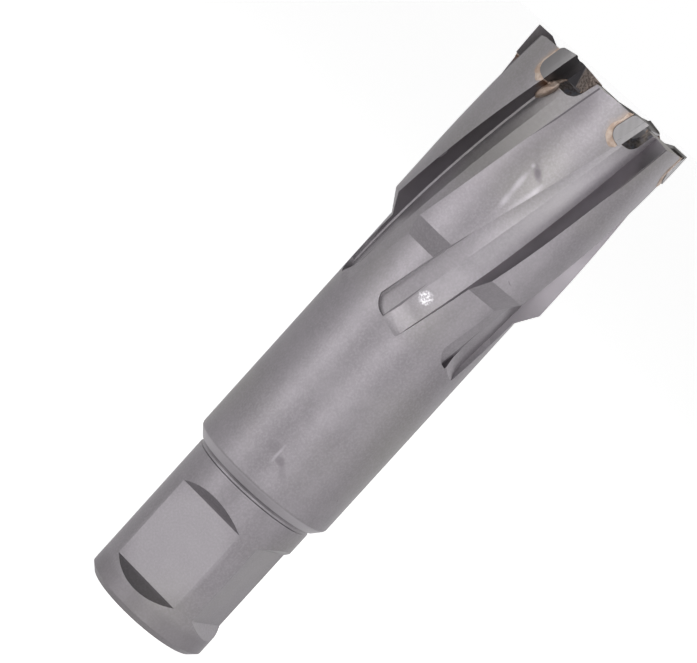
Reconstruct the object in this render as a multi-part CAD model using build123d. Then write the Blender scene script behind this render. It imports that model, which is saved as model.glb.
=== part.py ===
from math import atan, cos, degrees, radians, sin, tan
import os

from build123d import *

os.makedirs("parts", exist_ok=True)

# Carbide-tipped annular cutter for magnetic drills, in millimetres.
# The origin is the centre of the shank's end face and +Z points to the cutting tips.
# The first driving flat faces -Y and the second faces +X.

# Shank, a 3/4 inch one with two flats.
SHANK_R = 19.05 / 2
SHANK_CHAMFER = 0.9
SHOULDER_Z = 23.35
SHOULDER_STEP = 0.375
SHOULDER_R = SHANK_R + SHOULDER_STEP
GROOVE_WIDTH = 0.8
GROOVE_DEPTH = 0.12
FLAT_DEPTH = 1.725
FLAT_LOW_Z = 4.86
FLAT_HIGH_Z = 17.93
FLAT_WALL_RISE = 1.6

# Body and fluted head. The rim is the steel's cutting end, under the tips.
HEAD_LENGTH = 69.8
RIM_Z = SHOULDER_Z + HEAD_LENGTH
BODY_R = 11.0
BODY_CHAMFER_Z = 1.3
BODY_CORNER_R = 0.8
LAND_R = 12.82
LAND_LENGTH = 27.88
RAMP_LENGTH = 2.92
RAMP_HIGH_Z = RIM_Z - LAND_LENGTH
RAMP_LOW_Z = RAMP_HIGH_Z - RAMP_LENGTH

# Through hole for a pilot pin and the hollow that takes the slug.
PILOT_R = 4.0
PILOT_CHAMFER = 0.5
CORE_R = 8.6
CORE_DEPTH = 56.15
CORE_FLOOR_Z = RIM_Z - CORE_DEPTH
CORE_CORNER_R = 1.2
CORE_MOUTH_CHAMFER = 0.15

# Six right-hand flutes. Angles are in degrees about the axis, from a tooth's rake wall at the
# rim, and a lead is the height of one whole turn.
TEETH = 6
PITCH = 360 / TEETH
FIRST_RAKE_DEG = 15.87
FLOOR_R = 10.2
RAKE_LEAD = 263.7
RAKE_LEAN_DEG = 2.1
ROOT_SIZE = 0.22
ROOT_RISE = 0.1
SPLIT_LEAD = 287.0
SPLIT_RIM_DEG = 9.7
HEEL_LEAD = 305.0
HEEL_RIM_DEG = 26.3
HEEL_BEND_LENGTH = 21.15
HEEL_BEND_Z = RIM_Z - HEEL_BEND_LENGTH
HEEL_BEND_DEG = 2.3
HEEL_LEAN_LOW_DEG = 0.9
HEEL_LEAN_RIM_DEG = -1.65
FLUTE_ROWS = 10
OVERCUT = 1.4

# Low end of a flute: a round pocket on the rake side and a climbing floor on the heel side.
FLUTE_LENGTH = 38.3
END_Z = RIM_Z - FLUTE_LENGTH
END_R = 2.65
END_SHIFT = 0.43
END_TILT = 14.5
RUNOUT_RISE = 1.45
RUNOUT_R = 9.0
RUNOUT_UNDERCUT = 0.14

# Carbide tips, brazed into slots through the wall.
TIP_PROUD = 0.25
TIP_OUT_R = LAND_R + TIP_PROUD
TIP_IN_R = CORE_R - TIP_PROUD
TIP_THICK = 2.3
TIP_DEPTH = 4.15
TIP_MIDDLE_DEPTH = 1.67
TIP_MIDDLE_DEG = -1.9
TIP_TILT = 15.0
TIP_BACK_R = 1.45
TIP_TOP_R = 0.9
MARGIN = 0.75
MARGIN_RELIEF = 0.1
BRAZE_GAP = 0.2

# The teeth are ground in three ways that follow each other round the rim. Each one has a relief
# angle and the corners of its cutting edge: the share of the way from the tip's outside to its
# inside, and the height over the rim.
GRINDS = [
    (8.0, [(0, 0.63), (0.49, 0.63), (1, -0.55)]),
    (9.0, [(0, 0.95), (0.12, 0.95), (0.23, 0.73), (0.84, 0.45), (1, 0.25)]),
    (6.5, [(0, 0.49), (0.31, 0.61), (1, 0.42)]),
]
GRIND_BACK_DEG = 52.0

# Chip gullets through the wall in front of the tips, ground by hand to slightly uneven widths.
GULLET_WIDTHS = [3.7, 3.6, 3.9, 3.7, 3.55, 4.0]
GULLET_FLARE = 2.0
GULLET_DEPTH = 3.7
GULLET_CORNER_R = 1.6
GULLET_SLOPE = 38.0


def polar(radius, angle, height):
    a = radians(angle)
    return Vector(radius * cos(a), radius * sin(a), height)


def side_plane(angle, height):
    """Plane on the axis facing outwards: x runs round the axis, y up it and z away from it."""
    return Plane(origin=(0, 0, height), x_dir=polar(1, angle + 90, 0), z_dir=polar(1, angle, 0))


def rake_deg(z, radius):
    """Angle of the rake wall at a height and radius."""
    lean = RAKE_LEAN_DEG * (LAND_R - radius) / (LAND_R - FLOOR_R)
    return 360 * (z - RIM_Z) / RAKE_LEAD - lean


def split_deg(z):
    """Angle of the line between the two floor facets."""
    return SPLIT_RIM_DEG + 360 * (z - RIM_Z) / SPLIT_LEAD


def heel_deg(z, radius):
    """Angle of the heel wall, which bends back in the low part and leans in the high part."""
    bend = max(0, (HEEL_BEND_Z - z) / (HEEL_BEND_Z - END_Z))
    high = max(0, (z - HEEL_BEND_Z) / (RIM_Z - HEEL_BEND_Z))
    lean = HEEL_LEAN_LOW_DEG + (HEEL_LEAN_RIM_DEG - HEEL_LEAN_LOW_DEG) * high
    floor = HEEL_RIM_DEG + 360 * (z - RIM_Z) / HEEL_LEAD - HEEL_BEND_DEG * bend**2
    return floor + lean * (radius - FLOOR_R) / (LAND_R - FLOOR_R)


def turned_blank():
    """The solid of revolution: shank, body, ramp and land, with the two bores."""
    groove_r = SHANK_R - GROOVE_DEPTH
    outline = [
        (PILOT_R + PILOT_CHAMFER, 0),
        (SHANK_R - SHANK_CHAMFER, 0),
        (SHANK_R, SHANK_CHAMFER),
        (SHANK_R, SHOULDER_Z - GROOVE_WIDTH),
        (groove_r, SHOULDER_Z - GROOVE_WIDTH + GROOVE_DEPTH),
        (groove_r, SHOULDER_Z),
        (SHOULDER_R, SHOULDER_Z),
        (BODY_R, SHOULDER_Z + BODY_CHAMFER_Z),
        (BODY_R, RAMP_LOW_Z),
        (LAND_R, RAMP_HIGH_Z),
        (LAND_R, RIM_Z),
        (CORE_R + CORE_MOUTH_CHAMFER, RIM_Z),
        (CORE_R, RIM_Z - CORE_MOUTH_CHAMFER),
        (CORE_R, CORE_FLOOR_Z),
        (PILOT_R, CORE_FLOOR_Z),
        (PILOT_R, PILOT_CHAMFER),
    ]
    face = make_face(Polyline(*[(x, z) for x, z in outline], close=True))
    rounded = {
        (BODY_R, SHOULDER_Z + BODY_CHAMFER_Z): BODY_CORNER_R,
        (CORE_R, CORE_FLOOR_Z): CORE_CORNER_R,
    }
    for (x, z), radius in rounded.items():
        corner = face.vertices().sort_by_distance((x, z))[0]
        face = fillet(corner, radius)
    return revolve(Plane.XZ * face, Axis.Z)


def driving_flat():
    """Cutter for one shank flat, with its floor facing -Y and sloping end walls."""
    reach = SHANK_R + FLAT_DEPTH
    side = 2 * FLAT_WALL_RISE
    outline = [
        (FLAT_DEPTH - SHANK_R, FLAT_LOW_Z),
        (FLAT_DEPTH - SHANK_R, FLAT_HIGH_Z),
        (-reach, FLAT_HIGH_Z + side),
        (-reach, FLAT_LOW_Z - side),
    ]
    face = make_face(Polyline(*outline, close=True))
    return extrude(Plane.YZ * face, SHANK_R, both=True)


def flute_row(z):
    """A flute's section: rake wall, small root, two floor facets and heel wall."""
    out_r = LAND_R + OVERCUT
    root_r = FLOOR_R + ROOT_RISE
    wall_r = root_r + ROOT_SIZE
    corners = [
        (out_r, rake_deg(z, out_r)),
        (wall_r, rake_deg(z, wall_r)),
        (root_r, rake_deg(z, root_r) + degrees(ROOT_SIZE / root_r)),
        (FLOOR_R, split_deg(z)),
        (FLOOR_R, heel_deg(z, FLOOR_R)),
        (out_r, heel_deg(z, out_r)),
    ]
    return Face(Wire.make_polygon([polar(r, FIRST_RAKE_DEG + a, z) for r, a in corners]))


def flute_shape():
    """A whole flute, long at both ends."""
    low = END_Z - 2 * END_R
    high = RIM_Z + 2 * OVERCUT
    step = (high - low) / (FLUTE_ROWS - 1)
    return loft([flute_row(low + step * row) for row in range(FLUTE_ROWS)])


def flute_reach():
    """The space a flute may fill, which gives its low end the two shapes side by side."""
    frame = side_plane(FIRST_RAKE_DEG + split_deg(END_Z), END_Z) * Rot(0, 0, -END_TILT)
    big = RIM_Z
    out = Align.MIN
    mid = Align.CENTER
    left = Box(big, big, big, align=(Align.MAX, out, out))
    right = Pos(0, RUNOUT_RISE, 0) * Box(big, big, big, align=(out, out, out))
    pocket = Pos(-END_SHIFT, 0, 0) * Cylinder(END_R, big, align=(mid, mid, out))
    pocket = pocket - Box(big, big, 2 * big, align=(out, mid, mid))
    facet_turn = (heel_deg(END_Z, FLOOR_R) - split_deg(END_Z)) / 2
    centre = Pos(0, RUNOUT_RISE, FLOOR_R - RUNOUT_UNDERCUT + RUNOUT_R)
    sweep = centre * Rot(0, 90, 0) * Cylinder(RUNOUT_R, big)
    sweep = Rot(0, facet_turn, 0) * sweep - Box(big, big, 2 * big, align=(Align.MAX, mid, mid))
    return frame * (left + right + pocket + sweep)


def tip_frame():
    """Plane at a tip: x runs forwards from its rake face, y up its edge and z outwards."""
    wall_slope = radians(RAKE_LEAN_DEG) / (LAND_R - FLOOR_R) * (LAND_R + FLOOR_R) / 2
    middle = side_plane(FIRST_RAKE_DEG + TIP_MIDDLE_DEG, RIM_Z - TIP_MIDDLE_DEPTH)
    plane = middle * Rot(0, 0, -TIP_TILT)
    lean = Rot(0, degrees(atan(wall_slope)), 0)
    return Plane(plane * Pos(0, 0, LAND_R) * lean * Pos(0, 0, -LAND_R))


def tip_y(rise, radius=LAND_R):
    """The y in the tip's plane of a point of the rake face, from its height over the rim."""
    frame = tip_frame()
    return (RIM_Z + rise - frame.origin.Z - radius * frame.z_dir.Z) / frame.y_dir.Z


def tip_outline(grow, relief, rise):
    """Side view of a tip, or of its slot when grown by the braze gap and drawn taller."""
    back = -TIP_THICK - grow
    low = tip_y(-TIP_DEPTH) - grow
    high = tip_y(rise)
    back_high = high - TIP_THICK * tan(radians(relief + TIP_TILT))
    radius = TIP_BACK_R + grow
    lines = Polyline((back, low + radius), (back, back_high), (grow, high), (grow, low),
                     (back + radius, low))
    arc = RadiusArc((back + radius, low), (back, low + radius), radius)
    face = make_face(lines + arc)
    return fillet(face.vertices().sort_by_distance((back, back_high))[0], TIP_TOP_R)


def above_edge(relief, edge):
    """The space over a ground tip, running back from its cutting edge past its slot."""
    width = TIP_OUT_R - TIP_IN_R
    radii = [TIP_OUT_R - share * width for share, _ in edge]
    heights = [tip_y(rise, radius) for (_, rise), radius in zip(edge, radii)]
    outer = TIP_OUT_R + OVERCUT
    inner = TIP_IN_R - OVERCUT
    corners = [(heights[0], outer), *zip(heights, radii), (heights[-1], inner)]
    face = make_face(Polyline((2 * TIP_DEPTH, outer), *corners, (2 * TIP_DEPTH, inner), close=True))
    fall = radians(relief + TIP_TILT)
    back = Vector(-cos(fall), -sin(fall), 0)
    ahead = Pos(-BRAZE_GAP * back) * (Plane.YZ * face)
    return tip_frame() * extrude(ahead, TIP_THICK * 2, dir=back)


def highest(edge):
    return max(rise for _, rise in edge)


def carbide_tip(relief, edge):
    frame = tip_frame()
    outline = tip_outline(0, relief, highest(edge))
    blank = extrude(frame * Pos(0, 0, TIP_IN_R) * outline, TIP_OUT_R)
    blank = blank & Cylinder(TIP_OUT_R, 4 * RIM_Z)
    blank = blank - above_edge(relief, edge)
    outside = Cylinder(2 * TIP_OUT_R, 4 * RIM_Z) - Cylinder(TIP_OUT_R - MARGIN_RELIEF, 4 * RIM_Z)
    middle = Align.CENTER
    behind = Pos(-MARGIN, 0, 0) * Box(LAND_R, RIM_Z, RIM_Z, align=(Align.MAX, middle, middle))
    return blank - (outside & frame * behind)


def tip_slot():
    inside = Pos(0, 0, TIP_IN_R - OVERCUT)
    return extrude(tip_frame() * inside * tip_outline(BRAZE_GAP, 0, TIP_DEPTH), TIP_OUT_R)


def rim_relief(relief, edge):
    """The space over the body behind a tooth, which the relief grinding took away."""
    block = Box(RIM_Z, RIM_Z, RIM_Z, align=(Align.MAX, Align.MIN, Align.CENTER))
    block = side_plane(FIRST_RAKE_DEG, RIM_Z + highest(edge)) * Rot(0, 0, relief) * block
    turns = [0, -GRIND_BACK_DEG / 2, -GRIND_BACK_DEG]
    corners = [polar(2 * LAND_R, FIRST_RAKE_DEG + a, RIM_Z - OVERCUT) for a in turns]
    sector = make_face(Polyline((0, 0, RIM_Z - OVERCUT), *corners, close=True))
    return block & extrude(sector, 2 * OVERCUT, dir=(0, 0, 1))


def gullet(width):
    """Cutter for a gullet: a flared slot with a round far corner, falling outwards."""
    low = tip_y(-GULLET_DEPTH)
    far_low = low + width * tan(radians(TIP_TILT))
    high = low + 3 * GULLET_DEPTH
    far_top = width + tan(radians(GULLET_FLARE)) * (high - low)
    face = make_face(Polyline((0, low), (width, far_low), (far_top, high), (0, high), close=True))
    corner = face.vertices().sort_by_distance((width, far_low))[0]
    face = fillet(corner, GULLET_CORNER_R)
    inner = CORE_R - OVERCUT
    slope = radians(GULLET_SLOPE)
    raised = Pos(0, (FLOOR_R - inner) * tan(slope), inner) * face
    length = (LAND_R + OVERCUT - inner) / cos(slope)
    return tip_frame() * extrude(raised, length, dir=(0, -sin(slope), cos(slope)))


def around(shapes):
    """Turn a list of shapes to the teeth in order, starting it again where it is shorter."""
    return [Rot(0, 0, k * PITCH) * shapes[k % len(shapes)] for k in range(TEETH)]


def save(shape, name, colour):
    solids = shape.solids()
    assert len(solids) == 1, (name, len(solids))
    solid = solids[0]
    assert solid.is_valid, name
    solid.label = name
    solid.color = Color(colour)
    export_step(solid, f"parts/{name}.step")
    print(name, round(solid.volume, 2), [round(v, 2) for v in solid.bounding_box().max])


body = turned_blank()
body = body - driving_flat() - Rot(0, 0, 90) * driving_flat()
body = body - around([flute_shape() & flute_reach()])
body = body - around([gullet(width) for width in GULLET_WIDTHS])
body = body - around([rim_relief(*grind) for grind in GRINDS])

tips = around([carbide_tip(*grind) for grind in GRINDS])
slots = around([tip_slot()])
ground = around([above_edge(*grind) for grind in GRINDS])
joints = [(slot & body) - tip - above for slot, tip, above in zip(slots, tips, ground)]
body = body - slots

save(body, "cutter_body", 0x8E8A90)
for number, (tip, joint) in enumerate(zip(tips, joints), start=1):
    save(tip, f"carbide_tip_{number}", 0x6E706C)
    save(joint, f"braze_joint_{number}", 0xC9B48C)
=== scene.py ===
"""Looks of a carbide-tipped annular cutter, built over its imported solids."""

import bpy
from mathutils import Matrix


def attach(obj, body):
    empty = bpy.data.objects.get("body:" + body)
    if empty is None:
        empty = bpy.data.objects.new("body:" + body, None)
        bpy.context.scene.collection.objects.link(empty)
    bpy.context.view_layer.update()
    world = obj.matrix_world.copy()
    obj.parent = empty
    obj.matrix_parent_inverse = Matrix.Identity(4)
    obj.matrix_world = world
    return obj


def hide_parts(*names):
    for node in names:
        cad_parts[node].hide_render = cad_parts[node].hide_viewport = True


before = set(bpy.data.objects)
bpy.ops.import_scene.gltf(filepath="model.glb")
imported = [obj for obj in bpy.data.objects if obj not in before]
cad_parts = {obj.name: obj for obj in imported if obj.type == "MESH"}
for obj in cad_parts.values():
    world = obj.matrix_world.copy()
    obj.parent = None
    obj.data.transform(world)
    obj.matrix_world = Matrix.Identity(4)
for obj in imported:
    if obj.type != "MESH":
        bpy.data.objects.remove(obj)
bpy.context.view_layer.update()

from math import atan2, cos, degrees, hypot, radians, sin

import bmesh
import bpy
from bpy.props import FloatProperty, FloatVectorProperty, PointerProperty
from mathutils import Matrix, Vector, noise

bl_info = {
    "name": "Annular cutter looks",
    "version": (1, 0, 0),
    "blender": (4, 5, 0),
    "location": "View3D > Sidebar > Cutter",
    "description": "Dresses the packed annular cutter and sets its studio",
    "category": "Object",
}

MM = 0.001

# Sizes of the solids in millimetres and degrees, as the part's source has them.
SHANK_R = 9.525
SHOULDER_Z = 23.35
BODY_R = 11.0
LAND_R = 12.82
FLOOR_R = 10.2
CORE_R = 8.6
RIM_Z = 93.15
END_Z = 54.85
TEETH = 6
PITCH = 360 / TEETH
FIRST_RAKE_DEG = 15.87
SPLIT_RIM_DEG = 9.7
SPLIT_LEAD = 287.0
TIP_THICK = 2.3
TIP_DEPTH = 4.15
TIP_MIDDLE_DEPTH = 1.67
TIP_MIDDLE_DEG = -1.9
TIP_TILT = 15.0
TIP_BACK_R = 1.45
BRAZE_GAP = 0.2

# Places that follow from the sizes: the flats, the gullets' low end, the edge where a heel wall
# meets its land, the tips' relieved sides and the tips' lean.
FLAT_R = 7.8
FLATS_LOW_Z = 3.2
FLATS_HIGH_Z = 19.6
FLATS_MIDDLE_Z = (FLATS_LOW_Z + FLATS_HIGH_Z) / 2
GULLET_LOW_Z = 86.5
HEEL_EDGE_RIM_DEG = 24.65
HEEL_EDGE_LEAD = 339.7
SIDE_R = 12.97
TIP_LEAN = 9.15

# Bounds that tell the body's surfaces apart: the relief grinding lies above the first, the walls
# that show as milled above the second and the flutes above the third.
RIM_GROUND_LOW_Z = RIM_Z - 2.5
WALLS_LOW_Z = END_Z + 4
FLUTES_LOW_Z = END_Z - 5

# How far the tips' relieved sides are lifted, which softens the step at their margins.
SIDE_RISE = 0.06

# The solder begins to swell from a joint at the first radius and swells in full from the second.
BEAD_START_R = 12.3
BEAD_FULL_R = 12.7

# The photograph looks at the cutter from this angle about its axis, with no turn at +X.
FRONT_DEG = -72.48

# The angle from there to the far tip that shows through the front gullet.
FAR_TIP_DEG = 203.4

# The camera that was fitted to the photograph: its place in metres and its angles in degrees.
CAMERA_PLACE = (0.13397, -0.42536, 0.09564)
CAMERA_PITCH = 6.271
CAMERA_ROLL = 42.10
CAMERA_HEADING = FRONT_DEG + 180.557

# How far the softboxes stand from the axis, in metres.
SOFTBOX_DISTANCE = 0.8

BODY_SURFACES = ["turned", "milled_wall", "flute_floor", "gullet", "ground_rim", "bore"]
TIP_SURFACES = ["side", "margin", "rake_face", "ground_top"]


def polar(radius, angle, height):
    """Point at a radius, an angle in degrees and a height, in the unit of the two lengths."""
    a = radians(angle)
    return Vector((radius * cos(a), radius * sin(a), height))


def linear(code):
    """Linear colour of an sRGB hex code."""
    channels = [int(code[i:i + 2], 16) / 255 for i in (0, 2, 4)]
    return [c / 12.92 if c <= 0.04045 else ((c + 0.055) / 1.055) ** 2.4 for c in channels]


def smooth_step(low, high, value):
    """Share from 0 to 1 that rises smoothly as a value goes from low to high."""
    t = min(1, max(0, (value - low) / (high - low)))
    return t * t * (3 - 2 * t)


def colour_property(name, description, code):
    return FloatVectorProperty(name=name, description=description, default=linear(code),
                               subtype="COLOR", size=3, min=0, max=1)


class CutterFinish(bpy.types.PropertyGroup):
    """Colours of the cutter's finishes and the coarseness of its blasted steel."""
    steel: colour_property("Blasted steel", "Colour of the turned and blasted surfaces", "8b878b")
    steel_dark: colour_property("Blasted steel, darker", "Its darker clouds", "827e82")
    wall: colour_property("Milled wall", "Colour of the flutes' dark side walls", "807c80")
    gullet: colour_property("Gullet", "Colour of the chip gullets", "7b726c")
    ground: colour_property("Ground rim", "Colour of the relief-ground rim", "6a6460")
    bore: colour_property("Bore", "Colour of the core and the pilot hole", "646164")
    carbide: colour_property("Carbide", "Colour of the tips' sides", "868486")
    braze: colour_property("Braze", "Colour of the solder", "b0a196")
    grain: FloatProperty(name="Grain", description="Size of a dimple of the blasted grain",
                         default=0.3 * MM, unit="LENGTH", min=0.05 * MM, max=MM)
    bead: FloatProperty(name="Braze bead", description="How far the solder swells from its joint",
                        default=0.12 * MM, unit="LENGTH", min=0, max=0.5 * MM)


class CutterStage(bpy.types.PropertyGroup):
    """Floor, lights and lens of the studio."""
    floor_size: FloatProperty(name="Floor", description="Width of the floor", default=60,
                              unit="LENGTH", min=1)
    left_power: FloatProperty(name="Left light", description="Power of the left softbox",
                              default=2.7, unit="POWER", min=0)
    front_power: FloatProperty(name="Front light", description="Power of the front softbox",
                               default=2.4, unit="POWER", min=0)
    right_power: FloatProperty(name="Right light", description="Power of the right softbox",
                               default=1.8, unit="POWER", min=0)
    back_power: FloatProperty(name="Back light", description="Power of the softbox behind",
                              default=0.75, unit="POWER", min=0)
    lens: FloatProperty(name="Lens", description="Focal length", default=174.1,
                        unit="CAMERA", min=10)


def add(tree, kind, inputs=(), **settings):
    """Add a node with its own settings, and with a value or a source for its inputs."""
    made = tree.nodes.new(kind)
    for name, value in settings.items():
        setattr(made, name, value)
    for name, value in dict(inputs).items():
        if isinstance(value, bpy.types.NodeSocket):
            tree.links.new(value, made.inputs[name])
        else:
            made.inputs[name].default_value = value
    return made


def start_material(name, metallic, roughness):
    """A new material, its node tree, its shader and the object's coordinates in millimetres."""
    material = bpy.data.materials.new(name)
    material.use_nodes = True
    tree = material.node_tree
    shader = tree.nodes["Principled BSDF"]
    shader.inputs["Metallic"].default_value = metallic
    shader.inputs["Roughness"].default_value = roughness
    place = add(tree, "ShaderNodeTexCoord").outputs["Object"]
    mm = add(tree, "ShaderNodeVectorMath", {0: place, "Scale": 1 / MM}, operation="SCALE")
    return material, tree, shader, mm.outputs[0]


def blend(tree, mask, under, over):
    """Colour that goes from one to the other by a mask."""
    mixed = add(tree, "ShaderNodeMix", {"Factor": mask}, data_type="RGBA")
    for socket, value in ((mixed.inputs[6], under), (mixed.inputs[7], over)):
        if isinstance(value, bpy.types.NodeSocket):
            tree.links.new(value, socket)
        else:
            socket.default_value = (*value, 1)
    return mixed.outputs[2]


def clouds(tree, mm, size, low=0.35, high=0.65, detail=3.0):
    """Soft patches of a size in millimetres, as a mask."""
    pattern = add(tree, "ShaderNodeTexNoise", {"Vector": mm, "Scale": 1 / size, "Detail": detail})
    spread = add(tree, "ShaderNodeMapRange", {"Value": pattern.outputs["Fac"], "From Min": low,
                                              "From Max": high}, interpolation_type="SMOOTHSTEP")
    return spread.outputs["Result"]


def mark(tree, mm, angle, height, radius, size, turn=0.0, soft=0.4, ragged=0.3, depth=2.0):
    """Mask of an oval mark on a round surface, by its place and half sizes in millimetres.

    soft and ragged are shares of its size, and depth is how far it reaches in and out.
    """
    across, up, out = polar(1, angle + 90, 0), Vector((0, 0, 1)), polar(1, angle, 0)
    local = Matrix((across, up, out)).transposed() @ Matrix.Rotation(radians(turn), 3, "Z")
    placed = add(tree, "ShaderNodeMapping",
                 {"Vector": mm, "Location": polar(radius, angle, height),
                  "Rotation": local.to_euler(), "Scale": (size[0], size[1], depth)},
                 vector_type="TEXTURE")
    distance = add(tree, "ShaderNodeVectorMath", {0: placed.outputs[0]}, operation="LENGTH")
    edge = add(tree, "ShaderNodeTexNoise", {"Vector": mm, "Scale": 2.0, "Detail": 3.0})
    rough = add(tree, "ShaderNodeMath", {0: edge.outputs["Fac"], 1: 2 * ragged,
                                         2: distance.outputs["Value"]}, operation="MULTIPLY_ADD")
    mask = add(tree, "ShaderNodeMapRange",
               {"Value": rough.outputs[0], "From Min": 1 + ragged - soft,
                "From Max": 1 + ragged + soft, "To Min": 1.0, "To Max": 0.0},
               interpolation_type="SMOOTHSTEP")
    return mask.outputs["Result"]


def tooth_frame(tree, mm):
    """Coordinates on the round outside in a tip's own tilt, the same at every tooth."""
    parts = add(tree, "ShaderNodeSeparateXYZ", {0: mm}).outputs
    angle = add(tree, "ShaderNodeMath", {0: parts["Y"], 1: parts["X"]}, operation="ARCTAN2")
    first = radians(FIRST_RAKE_DEG + TIP_MIDDLE_DEG)
    turned = add(tree, "ShaderNodeMath", {0: angle.outputs[0], 1: first}, operation="SUBTRACT")
    half = radians(PITCH / 2)
    near = add(tree, "ShaderNodeMath", {0: turned.outputs[0], 1: half, 2: -half},
               operation="WRAP")
    around = add(tree, "ShaderNodeMath", {0: near.outputs[0], 1: LAND_R}, operation="MULTIPLY")
    up = add(tree, "ShaderNodeMath", {0: parts["Z"], 1: RIM_Z - TIP_MIDDLE_DEPTH},
             operation="SUBTRACT")
    flat = add(tree, "ShaderNodeCombineXYZ", {"X": around.outputs[0], "Y": up.outputs[0]})
    tilted = add(tree, "ShaderNodeMapping",
                 {"Vector": flat.outputs[0], "Rotation": (0, 0, radians(TIP_TILT))})
    return tilted.outputs[0]


def brazing_halo(tree, mm, near, far, wobble=0.5):
    """Mask of the heat and brazing-paste stain round a tip, full at one distance and gone at
    another.
    """
    corner = 1.1
    high = 4.0
    low = TIP_MIDDLE_DEPTH - TIP_DEPTH
    middle = (-TIP_THICK / 2, (high + low) / 2, 0)
    reach = (TIP_THICK / 2 - corner, (high - low) / 2 - corner, 0)
    place = add(tree, "ShaderNodeVectorMath", {0: tooth_frame(tree, mm), 1: middle},
                operation="SUBTRACT")
    size = add(tree, "ShaderNodeVectorMath", {0: place.outputs[0]}, operation="ABSOLUTE")
    past = add(tree, "ShaderNodeVectorMath", {0: size.outputs[0], 1: reach},
               operation="SUBTRACT")
    past = add(tree, "ShaderNodeVectorMath", {0: past.outputs[0], 1: (0, 0, 0)},
               operation="MAXIMUM")
    away = add(tree, "ShaderNodeVectorMath", {0: past.outputs[0]}, operation="LENGTH")
    ragged = add(tree, "ShaderNodeTexNoise", {"Vector": mm, "Scale": 1.1, "Detail": 3.0})
    uneven = add(tree, "ShaderNodeMath", {0: ragged.outputs["Fac"], 1: -2 * wobble,
                                          2: away.outputs["Value"]}, operation="MULTIPLY_ADD")
    mask = add(tree, "ShaderNodeMapRange",
               {"Value": uneven.outputs[0], "From Min": corner + near - wobble,
                "From Max": corner + far - wobble, "To Min": 1.0, "To Max": 0.0},
               interpolation_type="SMOOTHSTEP")
    return mask.outputs["Result"]


def edge_line(tree, mm, rim_deg, lead, width, none, full):
    """Mask of a line along each flute, gone at the height none and of full width at full."""
    parts = add(tree, "ShaderNodeSeparateXYZ", {0: mm}).outputs
    angle = add(tree, "ShaderNodeMath", {0: parts["Y"], 1: parts["X"]}, operation="ARCTAN2")
    rim = radians(FIRST_RAKE_DEG + rim_deg)
    down = add(tree, "ShaderNodeMath", {0: parts["Z"], 1: RIM_Z}, operation="SUBTRACT")
    turn = radians(360 / lead)
    edge = add(tree, "ShaderNodeMath", {0: down.outputs[0], 1: turn, 2: rim},
               operation="MULTIPLY_ADD")
    past = add(tree, "ShaderNodeMath", {0: angle.outputs[0], 1: edge.outputs[0]},
               operation="SUBTRACT")
    near = add(tree, "ShaderNodeMath", {0: past.outputs[0], 1: radians(PITCH), 2: 0.0},
               operation="WRAP")
    grown = add(tree, "ShaderNodeMapRange", {"Value": parts["Z"], "From Min": none,
                                             "From Max": full, "To Max": width / LAND_R})
    mask = add(tree, "ShaderNodeMath", {0: near.outputs[0], 1: grown.outputs["Result"]},
               operation="LESS_THAN")
    return mask.outputs[0]


def level_band(tree, mm, low, high, soft):
    """Mask of a ring round the axis between two heights."""
    height = add(tree, "ShaderNodeSeparateXYZ", {0: mm}).outputs["Z"]
    middle = add(tree, "ShaderNodeMath", {0: height, 1: (low + high) / 2}, operation="SUBTRACT")
    away = add(tree, "ShaderNodeMath", {0: middle.outputs[0]}, operation="ABSOLUTE")
    half = (high - low) / 2
    mask = add(tree, "ShaderNodeMapRange",
               {"Value": away.outputs[0], "From Min": half, "From Max": half + soft,
                "To Min": 1.0, "To Max": 0.0}, interpolation_type="SMOOTHSTEP")
    return mask.outputs["Result"]


def partly(tree, mask, share):
    """A mask at a share of its strength."""
    return add(tree, "ShaderNodeMath", {0: mask, 1: share}, operation="MULTIPLY").outputs[0]


def grain_bump(tree, mm, shader, size, depth):
    """Fine blasted grain as bump, by its size and depth in millimetres."""
    dimples = add(tree, "ShaderNodeTexNoise", {"Vector": mm, "Scale": 1 / size, "Detail": 2.0})
    bump = add(tree, "ShaderNodeBump", {"Height": dimples.outputs["Fac"], "Strength": 0.5,
                                        "Distance": depth * MM})
    tree.links.new(bump.outputs["Normal"], shader.inputs["Normal"])


def blasted_colour(tree, mm, finish):
    """Colour of the blasted steel: faint clouds of two sizes, some olive and a pale grain."""
    colour = blend(tree, clouds(tree, mm, 12.0, 0.3, 0.7), finish.steel_dark, finish.steel)
    colour = blend(tree, partly(tree, clouds(tree, mm, 2.2), 0.3), colour, linear("7b777b"))
    olive = partly(tree, clouds(tree, mm, 16.0, 0.45, 0.75, 1.0), 0.4)
    colour = blend(tree, olive, colour, linear("86857d"))
    speckle = partly(tree, clouds(tree, mm, finish.grain / MM, 0.35, 0.75, 2.0), 0.5)
    return blend(tree, speckle, colour, [min(1, 1.16 * c) for c in finish.steel])


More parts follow.
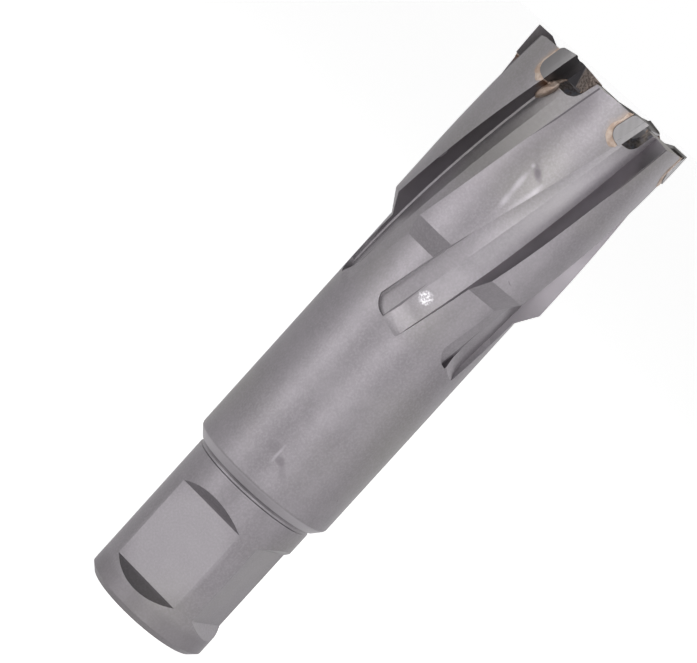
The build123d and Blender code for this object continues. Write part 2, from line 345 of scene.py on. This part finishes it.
def blasted_steel(finish):
    """Hardened tool steel, turned and blasted: satin purple grey, with its wear and stains, and
    with shade and highlights painted into its colour.
    """
    material, tree, shader, mm = start_material("blasted_steel", 1.0, 0.45)
    colour = blasted_colour(tree, mm, finish)
    shine, dark = linear("bcb8be"), linear("645f64")
    groove = level_band(tree, mm, SHOULDER_Z - 0.35, SHOULDER_Z, 0.08)
    # Painted highlight: the body's rounded corner just above the shoulder is made lighter.
    corner = level_band(tree, mm, SHOULDER_Z + 0.2, SHOULDER_Z + 1.1, 0.3)
    colour = blend(tree, partly(tree, corner, 0.5), colour, linear("b8b4b8"))
    # Painted shade: darker towards the foot of the shank.
    foot = level_band(tree, mm, 0.0, 2.6, 1.5)
    colour = blend(tree, partly(tree, foot, 0.35), colour, linear("6c686c"))
    # Painted light: the flat on the shank is made lighter.
    flat = mark(tree, mm, -90, FLATS_MIDDLE_Z, FLAT_R, (6.5, 8.0), soft=0.3, ragged=0.1,
                depth=0.5)
    colour = blend(tree, partly(tree, flat, 0.25), colour, linear("b8b4b8"))
    # Painted shade in the groove under the shoulder, strongest at the front and fading round the
    # sides.
    shaded_front = mark(tree, mm, FRONT_DEG - 4, SHOULDER_Z, SHANK_R, (7.5, 2), soft=0.9, depth=6)
    groove_shade = add(tree, "ShaderNodeMath", {0: groove, 1: shaded_front}, operation="MULTIPLY").outputs[0]
    colour = blend(tree, partly(tree, groove_shade, 0.7), colour, linear("3c393c"))
    # Painted shade: a dark line along each heel edge near the rim.
    heel = edge_line(tree, mm, HEEL_EDGE_RIM_DEG, HEEL_EDGE_LEAD, width=0.24, none=82.0,
                     full=86.0)
    colour = blend(tree, partly(tree, heel, 0.8), colour, linear("4a464a"))
    # Angle from the front, height, radius, half sizes, turn, softness, strength and tone.
    marks = [
        (-0.2, 79.5, LAND_R, (0.95, 0.42), -38, 0.7, 0.85, dark),
        (-4.0, 80.6, LAND_R, (1.3, 0.4), -38, 0.9, 0.2, dark),
        (-4.5, 89.3, LAND_R, (1.5, 2.2), 0, 0.9, 0.3, dark),
        # Painted shade on the land beside a heel edge.
        (-19.0, 79.0, LAND_R, (2.0, 10.0), -11, 0.9, 0.3, dark),
        (-5.2, 79.9, LAND_R, (0.25, 0.25), 0, 0.9, 0.35, shine),
        (-4.8, 77.3, LAND_R, (0.3, 1.0), 0, 1.0, 0.4, shine),
        (-4.5, 75.8, LAND_R, (0.3, 2.3), 2, 1.0, 0.3, shine),
        (-4.2, 74.2, LAND_R, (0.3, 0.6), 0, 1.0, 0.35, shine),
        (5.6, 77.5, LAND_R, (0.3, 0.9), -8, 1.0, 0.35, shine),
        (4.2, 76.2, LAND_R, (0.3, 2.2), -14, 1.0, 0.25, shine),
        (31.8, 66.5, LAND_R, (0.4, 0.06), -25, 0.3, 0.6, dark),
        # A dent: a dark spot with a tail, painted shade beside it and a painted highlight along
        # its edge.
        (1.4, 29.2, BODY_R, (0.75, 0.5), -10, 0.5, 0.5, dark),
        (7.0, 28.2, BODY_R, (1.1, 0.4), -40, 0.9, 0.3, dark),
        (-8.0, 30.0, BODY_R, (0.8, 0.8), 0, 0.9, 0.25, dark),
        (-3.4, 29.8, BODY_R, (0.16, 1.1), 0, 1.0, 0.35, shine),
        (58.0, 29.6, BODY_R, (0.3, 0.06), -50, 0.3, 0.5, dark),
        (49.0, 16.0, 9.5, (0.08, 0.6), 35, 0.3, 0.4, dark),
    ]
    for across, z, radius, size, turn, soft, strength, tone in marks:
        mask = mark(tree, mm, FRONT_DEG + across, z, radius, size, turn, soft)
        colour = blend(tree, partly(tree, mask, strength), colour, tone)
    stain = partly(tree, brazing_halo(tree, mm, 0.2, 1.3), 0.8)
    colour = blend(tree, stain, colour, linear("9c8e85"))
    tree.links.new(colour, shader.inputs["Base Color"])
    grain_bump(tree, mm, shader, finish.grain / MM, 0.02)
    return material


def milled_wall(finish):
    """Side walls of the flutes as milled: a smooth, darker grey, burnt brown beside the tips."""
    material, tree, shader, mm = start_material("milled_wall", 1.0, 0.42)
    darker = [0.9 * c for c in finish.wall]
    colour = blend(tree, clouds(tree, mm, 4.0, 0.3, 0.7), darker, finish.wall)
    nick = mark(tree, mm, FRONT_DEG - 59.3, 73.0, LAND_R, (0.6, 0.85), 10, 0.2, depth=0.3)
    colour = blend(tree, nick, colour, linear("a9a5aa"))
    burnt = brazing_halo(tree, mm, 0.6, 1.9, 0.8)
    colour = blend(tree, burnt, colour, linear("6b5140"))
    tree.links.new(colour, shader.inputs["Base Color"])
    grain_bump(tree, mm, shader, 0.4, 0.01)
    return material


def flute_floor(finish):
    """Floors of the flutes: blasted like the outside, with a bright worn spot and solder stains,
    and with glints, shade and light painted into their colour.
    """
    material, tree, shader, mm = start_material("flute_floor", 0.9, 0.45)
    colour = blasted_colour(tree, mm, finish)
    worn = mark(tree, mm, FRONT_DEG - 0.2, 57.7, FLOOR_R, (0.85, 0.85), soft=0.4, ragged=0.4)
    glints = clouds(tree, mm, 0.3, 0.42, 0.6, 2.0)
    sparkle = add(tree, "ShaderNodeMath", {0: worn, 1: glints}, operation="MULTIPLY").outputs[0]
    colour = blend(tree, partly(tree, worn, 0.35), colour, linear("b8b4b9"))
    colour = blend(tree, partly(tree, sparkle, 0.75), colour, linear("e8e6ea"))
    # Painted shade on the floor of the flute left of the front.
    floor_shade = mark(tree, mm, FRONT_DEG - 33, 80.5, FLOOR_R, (2.8, 8.5), -13, 0.8)
    colour = blend(tree, partly(tree, floor_shade, 0.8), colour, linear("646261"))
    # Painted shade along the step between each flute's pocket and its run-out.
    step = edge_line(tree, mm, SPLIT_RIM_DEG - 1.9, SPLIT_LEAD, width=0.4, none=END_Z + 4.5,
                     full=END_Z)
    colour = blend(tree, partly(tree, step, 0.75), colour, linear("5a565a"))
    # Painted light on the floor of the flute right of the front.
    floor_light = mark(tree, mm, FRONT_DEG + 30, 80, FLOOR_R, (2.2, 13), -12, 0.8)
    colour = blend(tree, partly(tree, floor_light, 0.38), colour, linear("c4c0c4"))
    spilt = partly(tree, brazing_halo(tree, mm, 0.7, 1.5, 0.7), 0.5)
    colour = blend(tree, spilt, colour, linear("96887b"))
    tree.links.new(colour, shader.inputs["Base Color"])
    grain_bump(tree, mm, shader, finish.grain / MM, 0.02)
    return material


def gullet_steel(finish):
    """Chip gullets, milled and tinted by the brazing heat: brown and bluish, darkly speckled."""
    material, tree, shader, mm = start_material("gullet_steel", 0.7, 0.42)
    colour = blend(tree, clouds(tree, mm, 1.5), linear("60616a"), finish.gullet)
    speckle = partly(tree, clouds(tree, mm, 0.4, 0.45, 0.6, 2.0), 0.7)
    colour = blend(tree, speckle, colour, linear("4c4641"))
    tree.links.new(colour, shader.inputs["Base Color"])
    grain_bump(tree, mm, shader, 0.35, 0.01)
    return material


def ground_rim(finish):
    """Rim behind the teeth, ground in relief: fine slanting lines in brownish steel."""
    material, tree, shader, mm = start_material("ground_rim", 1.0, 0.35)
    lines = add(tree, "ShaderNodeTexWave", {"Vector": mm, "Scale": 1.1, "Distortion": 2.0,
                                            "Detail": 3.0, "Detail Scale": 2.0},
                bands_direction="DIAGONAL")
    colour = blend(tree, lines.outputs["Fac"], finish.ground, linear("857b70"))
    tree.links.new(colour, shader.inputs["Base Color"])
    return material


def bored_steel(finish):
    """Core and pilot hole, bored and left plain: dark steel with fine turning rings, its darkness
    partly painted shade of the hollow.
    """
    material, tree, shader, mm = start_material("bored_steel", 0.5, 0.45)
    rings = add(tree, "ShaderNodeTexWave", {"Vector": mm, "Scale": 0.8, "Distortion": 0.4},
                bands_direction="Z")
    dark = [0.8 * c for c in finish.bore]
    colour = blend(tree, rings.outputs["Fac"], dark, finish.bore)
    tree.links.new(colour, shader.inputs["Base Color"])
    return material


def carbide(name, base, roughness, streak):
    """Tungsten carbide, ground: smooth neutral grey with fine lines.

    One front tip is darkened by painted shade, and the far tip in the gullet has painted shade and
    a crust.
    """
    material, tree, shader, mm = start_material(name, 1.0, roughness)
    lines = add(tree, "ShaderNodeTexWave", {"Vector": mm, "Scale": streak, "Distortion": 1.5,
                                            "Detail": 2.0}, bands_direction="DIAGONAL")
    colour = blend(tree, lines.outputs["Fac"], [0.94 * c for c in base], base)
    # Painted shade on the tip left of the front.
    front_tip_shade = mark(tree, mm, FRONT_DEG - 40, 91, LAND_R, (4.5, 5), soft=0.3, depth=3)
    colour = blend(tree, partly(tree, front_tip_shade, 0.75), colour, [0.45 * c for c in base])
    far = FRONT_DEG + FAR_TIP_DEG
    # Painted shade on the far tip that shows through the front gullet.
    far_tip_shade = mark(tree, mm, far, 92, 12.4, (3, 6), soft=0.1, ragged=0.1, depth=2.0)
    colour = blend(tree, partly(tree, far_tip_shade, 0.95), colour, linear("302e32"))
    crust = mark(tree, mm, far, 92, 8.2, (3, 6), soft=0.1, ragged=0.1, depth=2.2)
    crumbs = blend(tree, clouds(tree, mm, 0.3, 0.4, 0.6), linear("534a46"), linear("7b706a"))
    colour = blend(tree, crust, colour, crumbs)
    tree.links.new(colour, shader.inputs["Base Color"])
    return material


def braze_metal(finish):
    """Silver solder as it froze: pale greyish tan, browner in patches and finely lumpy."""
    material, tree, shader, mm = start_material("braze_metal", 0.7, 0.5)
    colour = blend(tree, clouds(tree, mm, 0.9), linear("9a877a"), finish.braze)
    tree.links.new(colour, shader.inputs["Base Color"])
    grain_bump(tree, mm, shader, 0.3, 0.02)
    return material


def merged_copy(node):
    """A CAD node's mesh as one joined bmesh."""
    mesh = bmesh.new()
    mesh.from_mesh(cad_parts[node].data)
    bmesh.ops.remove_doubles(mesh, verts=mesh.verts, dist=0.001 * MM)
    return mesh


def finish_piece(mesh, name, materials, normals=None):
    """Turn a bmesh into a piece that rides on the cutter."""
    data = bpy.data.meshes.new(name)
    mesh.to_mesh(data)
    mesh.free()
    if normals:
        data.normals_split_custom_set(normals)
    for material in materials:
        data.materials.append(material)
    piece = bpy.data.objects.new(name, data)
    bpy.context.scene.collection.objects.link(piece)
    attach(piece, "root")
    return piece


def soften(mesh, angle, kinds=None):
    """Smooth shading but for edges that are sharper than an angle or between two kinds."""
    for face in mesh.faces:
        face.smooth = True
    for edge in mesh.edges:
        one_kind = not kinds or len({kinds[face.index] for face in edge.link_faces}) == 1
        edge.smooth = one_kind and edge.calc_face_angle(0) < radians(angle)


def directions(face):
    """Centre of a face in millimetres, its radius, and how its normal lies round the axis."""
    centre = face.calc_center_median() / MM
    out = Vector((centre.x, centre.y, 0)).normalized()
    across = Vector((-out.y, out.x, 0))
    return centre, hypot(centre.x, centre.y), face.normal.dot(out), face.normal.dot(across)


def turned_slope(face, surface):
    """Height part of the normal of a turned face, or None where the face isn't turned."""
    centre, radius, outward, across = directions(face)
    rim = max(hypot(vert.co.x, vert.co.y) / MM for vert in face.verts)
    low = min(hypot(vert.co.x, vert.co.y) / MM for vert in face.verts)
    if surface not in ("turned", "bore") or abs(across) > 0.12 or abs(outward) < 0.05:
        return None
    if rim - low < 0.01 and radius > 0.985 * rim and abs(face.normal.z) < 0.1:
        return 0.0
    if FLATS_LOW_Z < centre.z < FLATS_HIGH_Z and surface == "turned":
        return None
    return face.normal.z


def turned_normals(mesh, slopes):
    """Normals for the face corners, exact round the axis on turned faces."""
    normals = []
    for face in mesh.faces:
        slope = slopes[face.index]
        for vert in face.verts:
            if slope is None:
                normals.append((0, 0, 0))
                continue
            out = Vector((vert.co.x, vert.co.y, 0)).normalized()
            side = 1 if face.normal.dot(out) > 0 else -1
            level = (1 - slope * slope) ** 0.5
            normals.append(out * side * level + Vector((0, 0, slope)))
    return normals


def in_flute_deg(centre):
    """Angle of a point past the line between its flute's two floor facets."""
    split = FIRST_RAKE_DEG + SPLIT_RIM_DEG + 360 * (centre.z - RIM_Z) / SPLIT_LEAD
    angle = degrees(atan2(centre.y, centre.x)) - split
    return (angle + PITCH / 2) % PITCH - PITCH / 2


def body_surface(face):
    """Name of the made surface of the body that a face belongs to."""
    centre, radius, outward, across = directions(face)
    up = face.normal.z
    if radius < CORE_R + 0.03 and outward < 0.3 and centre.z > 0.6:
        return "bore"
    if centre.z < SHOULDER_Z:
        return "turned"
    if centre.z > GULLET_LOW_Z and radius < FLOOR_R - 0.02 and outward < 0.9:
        return "ground_rim" if up > 0.9 and centre.z > RIM_GROUND_LOW_Z else "gullet"
    if up > 0.9 and centre.z > RIM_GROUND_LOW_Z:
        return "ground_rim"
    if centre.z < FLUTES_LOW_Z:
        return "turned"
    if (across < -0.5 or across > 0.85) and centre.z > WALLS_LOW_Z:
        return "milled_wall"
    if radius < FLOOR_R + 0.4 or abs(across) > 0.3:
        return "flute_floor"
    return "turned"


class CUTTER_OT_body(bpy.types.Operator):
    """Dress the steel body: blasted outside, dark flute walls, ground rim and bores"""
    bl_idname = "cutter.body"
    bl_label = "Cutter body"

    def execute(self, context):
        finish = context.scene.cutter_finish
        mesh = merged_copy("cutter_body")
        kinds, slopes = {}, {}
        for face in mesh.faces:
            surface = body_surface(face)
            face.material_index = BODY_SURFACES.index(surface)
            slopes[face.index] = turned_slope(face, surface)
            part = slopes[face.index]
            if surface == "flute_floor":
                part = in_flute_deg(face.calc_center_median() / MM) > 0
            kinds[face.index] = (surface, part if part is None else round(part, 1))
        soften(mesh, 24, kinds)
        normals = turned_normals(mesh, slopes)
        materials = [blasted_steel(finish), milled_wall(finish), flute_floor(finish),
                     gullet_steel(finish), ground_rim(finish), bored_steel(finish)]
        piece = finish_piece(mesh, "blasted_body", materials, normals)
        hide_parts("cutter_body")
        return {"FINISHED"}


def tip_surface(face):
    """Name of the ground surface of a tip that a face belongs to, its inner end as a rake face."""
    centre, radius, outward, across = directions(face)
    if face.normal.z > 0.6:
        return "ground_top"
    if outward > 0.7:
        return "margin" if radius > LAND_R + 0.2 else "side"
    if across > 0.7 or outward < -0.7:
        return "rake_face"
    return "side"


class CUTTER_OT_tips(bpy.types.Operator):
    """Dress the six carbide tips by their ground faces and soften the step at each margin"""
    bl_idname = "cutter.tips"
    bl_label = "Carbide tips"

    def execute(self, context):
        finish = context.scene.cutter_finish
        # The faces are one carbide: the margin lighter as painted light, the rake face darker as
        # painted shade.
        materials = [carbide("carbide_side", finish.carbide, 0.42, 0.4),
                     carbide("carbide_margin", linear("8f8d8e"), 0.4, 0.4),
                     carbide("carbide_rake_face", linear("6e6a6c"), 0.45, 0.8),
                     carbide("carbide_top", linear("6e6966"), 0.4, 1.2)]
        for number in range(1, TEETH + 1):
            mesh = merged_copy(f"carbide_tip_{number}")
            for vert in mesh.verts:
                radius = hypot(vert.co.x, vert.co.y) / MM
                if abs(radius - SIDE_R) < 0.01:
                    vert.co.xy *= (SIDE_R + SIDE_RISE) / radius
            kinds = {}
            for face in mesh.faces:
                kinds[face.index] = tip_surface(face)
                face.material_index = TIP_SURFACES.index(kinds[face.index])
            soften(mesh, 30, kinds)
            piece = finish_piece(mesh, f"ground_tip_{number}", materials)
            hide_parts(f"carbide_tip_{number}")
        return {"FINISHED"}


def on_tooth(number, across, along, rise):
    """Place on the outside near a tip, from its tilted coordinates and a rise, in metres."""
    tilt = radians(TIP_TILT)
    around = across * cos(tilt) + along * sin(tilt)
    up = along * cos(tilt) - across * sin(tilt)
    angle = FIRST_RAKE_DEG + TIP_MIDDLE_DEG + PITCH * (number - 1) + degrees(around / LAND_R)
    return polar(LAND_R + rise, angle, RIM_Z - TIP_MIDDLE_DEPTH + up) * MM


def tip_place(number):
    """A tip's own frame: x runs forwards from its rake face, y up its edge and z outwards."""
    angle = FIRST_RAKE_DEG + TIP_MIDDLE_DEG + PITCH * (number - 1)
    side = Matrix((polar(1, angle + 90, 0), Vector((0, 0, 1)), polar(1, angle, 0)))
    side = side.transposed().to_4x4()
    side.translation = (0, 0, RIM_Z - TIP_MIDDLE_DEPTH)
    pivot = Matrix.Translation((0, 0, LAND_R))
    tilt = Matrix.Rotation(-radians(TIP_TILT), 4, "Z")
    return side @ tilt @ pivot @ Matrix.Rotation(radians(TIP_LEAN), 4, "Y") @ pivot.inverted()


def slot_floor(x):
    """Height of a tip's foot in its own frame, which curves up to its back."""
    low = (TIP_MIDDLE_DEPTH - TIP_DEPTH) / cos(radians(TIP_TILT))
    into_curve = max(0, TIP_BACK_R - TIP_THICK - x)
    return low + TIP_BACK_R - (TIP_BACK_R ** 2 - into_curve ** 2) ** 0.5


def slot_outline(share):
    """Point and outward direction on a slot's edge, from the top of its back to its foot."""
    back = -TIP_THICK - BRAZE_GAP
    low = (TIP_MIDDLE_DEPTH - TIP_DEPTH) / cos(radians(TIP_TILT)) - BRAZE_GAP
    radius = TIP_BACK_R + BRAZE_GAP
    high = 1.35
    straight, arc, foot = high - low - radius, radius * radians(90), -back - radius - 0.1
    travel = share * (straight + arc + foot)
    if travel < straight:
        return Vector((back, high - travel)), Vector((-1, 0))
    if travel < straight + arc:
        turn = (travel - straight) / radius
        way = Vector((-cos(turn), -sin(turn)))
        return Vector((back + radius, low + radius)) + radius * way, way
    return Vector((back + radius + travel - straight - arc, low)), Vector((0, -1))


def solder_band(number, metal):
    """A flat, uneven run of solder on the land along a slot's back and foot."""
    mesh = bmesh.new()
    bmesh.ops.create_grid(mesh, x_segments=56, y_segments=6, size=0.5)
    for vert in mesh.verts:
        share, side = vert.co.x + 0.5, vert.co.y + 0.5
        point, way = slot_outline(share)
        seed = Vector((3.1 * number, 9 * share, 0))
        width = 0.34 + 0.15 * noise.noise(seed) + 0.35 * smooth_step(0.35, 0.75, share)
        width *= smooth_step(-0.02, 0.08, share) * (0.3 + 0.7 * smooth_step(1.0, 0.9, share))
        offset = -0.18 + (width + 0.1) * side
        rise = 0.06 * (1 - (2 * side - 1) ** 2) * (1 + 0.5 * noise.noise(3 * seed))
        place = point + way * offset
        vert.co = on_tooth(number, place.x, place.y, rise + 0.02)
    bmesh.ops.solidify(mesh, geom=mesh.faces, thickness=0.2 * MM)
    bmesh.ops.recalc_face_normals(mesh, faces=mesh.faces)
    soften(mesh, 60)
    finish_piece(mesh, f"solder_band_{number}", [metal])


def blob(mesh, start, end, girth, lumpiness, seed):
    """Add a drop of solder that runs from one point to another, in millimetres."""
    run = end - start
    made = bmesh.ops.create_icosphere(mesh, subdivisions=4, radius=1)
    turn = run.to_track_quat("Z", "Y").to_matrix()
    for vert in made["verts"]:
        lump = 1 + lumpiness * noise.noise(1.2 * vert.co + Vector((0, 0, 5 * seed)))
        x, y, h = vert.co * lump
        place = turn @ Vector((x * girth, y * girth, h * (run.length / 2 + girth / 2)))
        vert.co = (start + end) / 2 + place


def solder_drop(number, metal):
    """The solder that ran out at a tip's foot and froze in the corner of the flute."""
    mesh = bmesh.new()
    base = FIRST_RAKE_DEG + PITCH * (number - 1)
    start = polar(FLOOR_R + 0.25, base - 3.4, RIM_Z - 3.6)
    end = polar(FLOOR_R + 0.25, base - 10.8, RIM_Z - 6.2)
    blob(mesh, start, end, 0.78, 0.2, number)
    bmesh.ops.scale(mesh, vec=(MM, MM, MM), verts=mesh.verts)
    soften(mesh, 60)
    finish_piece(mesh, f"solder_drop_{number}", [metal])


def solder_seam(number, metal):
    """The solder along the corner between a tip's rake face and the floor of its gullet."""
    mesh = bmesh.new()
    place = tip_place(number)
    corner = [(0.1, -2.62, 11.2), (0.1, -2.5, 10.6), (0.1, -0.95, 8.8)]
    points = [place @ Vector(point) for point in corner]
    blob(mesh, points[0], points[1], 0.27, 0.3, number)
    blob(mesh, points[1], points[2], 0.3, 0.3, number + 0.5)
    bmesh.ops.scale(mesh, vec=(MM, MM, MM), verts=mesh.verts)
    soften(mesh, 60)
    finish_piece(mesh, f"solder_seam_{number}", [metal])


def swell(mesh, bead):
    """Divide a joint finely and swell it near the outside, by about the depth of a bead."""
    for _ in range(3):
        long = [edge for edge in mesh.edges if edge.calc_length() > 0.25 * MM]
        bmesh.ops.subdivide_edges(mesh, edges=long, cuts=1)
        bmesh.ops.triangulate(mesh, faces=mesh.faces)
    mesh.normal_update()
    moves = {}
    for vert in mesh.verts:
        radius = hypot(vert.co.x, vert.co.y) / MM
        lumps = 0.9 + 0.6 * noise.noise(vert.co / (0.8 * MM))
        moves[vert] = vert.normal * bead * lumps * smooth_step(BEAD_START_R, BEAD_FULL_R, radius)
    for vert, move in moves.items():
        vert.co += move


def show_inner_end(mesh, number):
    """Give a joint's faces over its tip's inner end the second material, and tell them apart."""
    place = tip_place(number).inverted()
    kinds = {}
    for face in mesh.faces:
        x, y, out = place @ (face.calc_center_median() / MM)
        inner_end = out < CORE_R + 0.3 and -TIP_THICK < x < 0 and y > slot_floor(x)
        face.material_index = kinds[face.index] = int(inner_end)
    return kinds


class CUTTER_OT_braze(bpy.types.Operator):
    """Swell the solder out of its joints and add what ran out of them"""
    bl_idname = "cutter.braze"
    bl_label = "Braze"

    def execute(self, context):
        finish = context.scene.cutter_finish
        metal = braze_metal(finish)
        ground = carbide("carbide_inner_end", finish.carbide, 0.42, 0.4)
        for number in range(1, TEETH + 1):
            mesh = merged_copy(f"braze_joint_{number}")
            swell(mesh, finish.bead)
            soften(mesh, 50, show_inner_end(mesh, number))
            piece = finish_piece(mesh, f"braze_bead_{number}", [metal, ground])
            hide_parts(f"braze_joint_{number}")
            solder_band(number, metal)
            solder_drop(number, metal)
            solder_seam(number, metal)
        return {"FINISHED"}


def softbox(name, angle, height, size, power):
    """A rectangular lamp, unseen itself, that faces the middle of the cutter, in metres."""
    lamp = bpy.data.lights.new(name, "AREA")
    lamp.shape = "RECTANGLE"
    lamp.size, lamp.size_y = size
    lamp.energy = power
    holder = bpy.data.objects.new(name, lamp)
    holder.location = polar(SOFTBOX_DISTANCE, FRONT_DEG + angle, height)
    aim = Vector((0, 0, RIM_Z * MM / 2)) - holder.location
    holder.rotation_euler = aim.to_track_quat("-Z", "Y").to_euler()
    holder.visible_camera = False
    bpy.context.scene.collection.objects.link(holder)


class CUTTER_OT_stage(bpy.types.Operator):
    """Lay the white floor and set the softboxes, the world and the camera"""
    bl_idname = "cutter.stage"
    bl_label = "Stage"

    def execute(self, context):
        stage = context.scene.cutter_stage
        self.lay_floor(stage.floor_size)
        self.light_world(context.scene)
        softbox("left_softbox", -50, 0.3, (0.25, 0.6), stage.left_power)
        softbox("front_softbox", 9, 0.3, (0.3, 0.6), stage.front_power)
        softbox("right_softbox", 62, 0.37, (0.35, 0.6), stage.right_power)
        softbox("back_softbox", 135, 0.3, (0.5, 0.6), stage.back_power)
        self.place_camera(context.scene, stage.lens)
        context.scene.view_settings.view_transform = "Standard"
        return {"FINISHED"}

    def lay_floor(self, size):
        """White paper: what the camera sees is lifted to white, but for the soft shadow."""
        mesh = bmesh.new()
        bmesh.ops.create_grid(mesh, x_segments=1, y_segments=1, size=size / 2)
        data = bpy.data.meshes.new("white_floor")
        mesh.to_mesh(data)
        mesh.free()
        material = bpy.data.materials.new("white_paper")
        material.use_nodes = True
        tree = material.node_tree
        shader = tree.nodes["Principled BSDF"]
        shader.inputs["Base Color"].default_value = (0.86, 0.86, 0.86, 1)
        shader.inputs["Roughness"].default_value = 0.9
        shader.inputs["Emission Color"].default_value = (1, 1, 1, 1)
        glow_seen, glow_mirrored = 0.8, 0.5
        rays = add(tree, "ShaderNodeLightPath").outputs
        seen = add(tree, "ShaderNodeMath", {0: rays["Is Camera Ray"], 1: glow_seen},
                   operation="MULTIPLY")
        lift = add(tree, "ShaderNodeMath", {0: rays["Is Glossy Ray"], 1: glow_mirrored,
                                            2: seen.outputs[0]}, operation="MULTIPLY_ADD")
        tree.links.new(lift.outputs[0], shader.inputs["Emission Strength"])
        data.materials.append(material)
        floor = bpy.data.objects.new("white_floor", data)
        bpy.context.scene.collection.objects.link(floor)

    def light_world(self, scene):
        """A white surround under a dim ceiling, which lights at half of how bright it looks."""
        world = bpy.data.worlds.new("white_surround")
        world.use_nodes = True
        tree = world.node_tree
        back = tree.nodes["Background"]
        back.inputs["Color"].default_value = (1, 1, 1, 1)
        rays = add(tree, "ShaderNodeLightPath").outputs
        seen = add(tree, "ShaderNodeMath", {0: rays["Is Camera Ray"], 1: rays["Is Glossy Ray"]},
                   operation="MAXIMUM")
        seen = add(tree, "ShaderNodeMath", {0: seen.outputs[0], 1: rays["Is Transmission Ray"]},
                   operation="MAXIMUM")
        level = add(tree, "ShaderNodeMapRange", {"Value": seen.outputs[0], "To Min": 0.5,
                                                 "To Max": 1.0})
        direction = add(tree, "ShaderNodeTexCoord").outputs["Generated"]
        height = add(tree, "ShaderNodeSeparateXYZ", {0: direction}).outputs["Z"]
        ceiling = add(tree, "ShaderNodeMapRange", {"Value": height, "From Min": 0.3,
                                                   "From Max": 0.65, "To Min": 1.0,
                                                   "To Max": 0.12},
                      interpolation_type="SMOOTHSTEP")
        dimmed = add(tree, "ShaderNodeMath", {0: level.outputs["Result"],
                                              1: ceiling.outputs["Result"]},
                     operation="MULTIPLY")
        tree.links.new(dimmed.outputs[0], back.inputs["Strength"])
        scene.world = world

    def place_camera(self, scene, lens):
        """The photograph's view: slightly from above, with the camera rolled."""
        pitch, roll = radians(CAMERA_PITCH), radians(CAMERA_ROLL)
        ahead = polar(cos(pitch), CAMERA_HEADING, -sin(pitch))
        right = ahead.cross(Vector((0, 0, 1))).normalized()
        above = right.cross(ahead)
        tilted_right = right * cos(roll) + above * sin(roll)
        tilted_above = above * cos(roll) - right * sin(roll)
        turn = Matrix((tilted_right, tilted_above, -ahead)).transposed().to_4x4()
        turn.translation = CAMERA_PLACE
        data = bpy.data.cameras.new("camera")
        data.sensor_width = 36
        data.lens = lens
        camera = bpy.data.objects.new("camera", data)
        camera.matrix_world = turn
        scene.collection.objects.link(camera)
        scene.camera = camera


class CUTTER_PT_panel(bpy.types.Panel):
    """Lists what builds the cutter's looks, and its sizes and colours"""
    bl_idname = "CUTTER_PT_panel"
    bl_label = "Annular cutter"
    bl_space_type = "VIEW_3D"
    bl_region_type = "UI"
    bl_category = "Cutter"

    def draw(self, context):
        for operator in OPERATORS:
            self.layout.operator(operator.bl_idname)
        for group in (context.scene.cutter_finish, context.scene.cutter_stage):
            for name in group.__annotations__:
                self.layout.prop(group, name)


OPERATORS = [CUTTER_OT_body, CUTTER_OT_tips, CUTTER_OT_braze, CUTTER_OT_stage]
CLASSES = [CutterFinish, CutterStage, *OPERATORS, CUTTER_PT_panel]


def register():
    for cls in CLASSES:
        bpy.utils.register_class(cls)
    bpy.types.Scene.cutter_finish = PointerProperty(type=CutterFinish)
    bpy.types.Scene.cutter_stage = PointerProperty(type=CutterStage)


def unregister():
    del bpy.types.Scene.cutter_stage
    del bpy.types.Scene.cutter_finish
    for cls in reversed(CLASSES):
        bpy.utils.unregister_class(cls)


def main():
    register()
    bpy.ops.cutter.body()
    bpy.ops.cutter.tips()
    bpy.ops.cutter.braze()
    bpy.ops.cutter.stage()


if __name__ == "__main__":
    main()
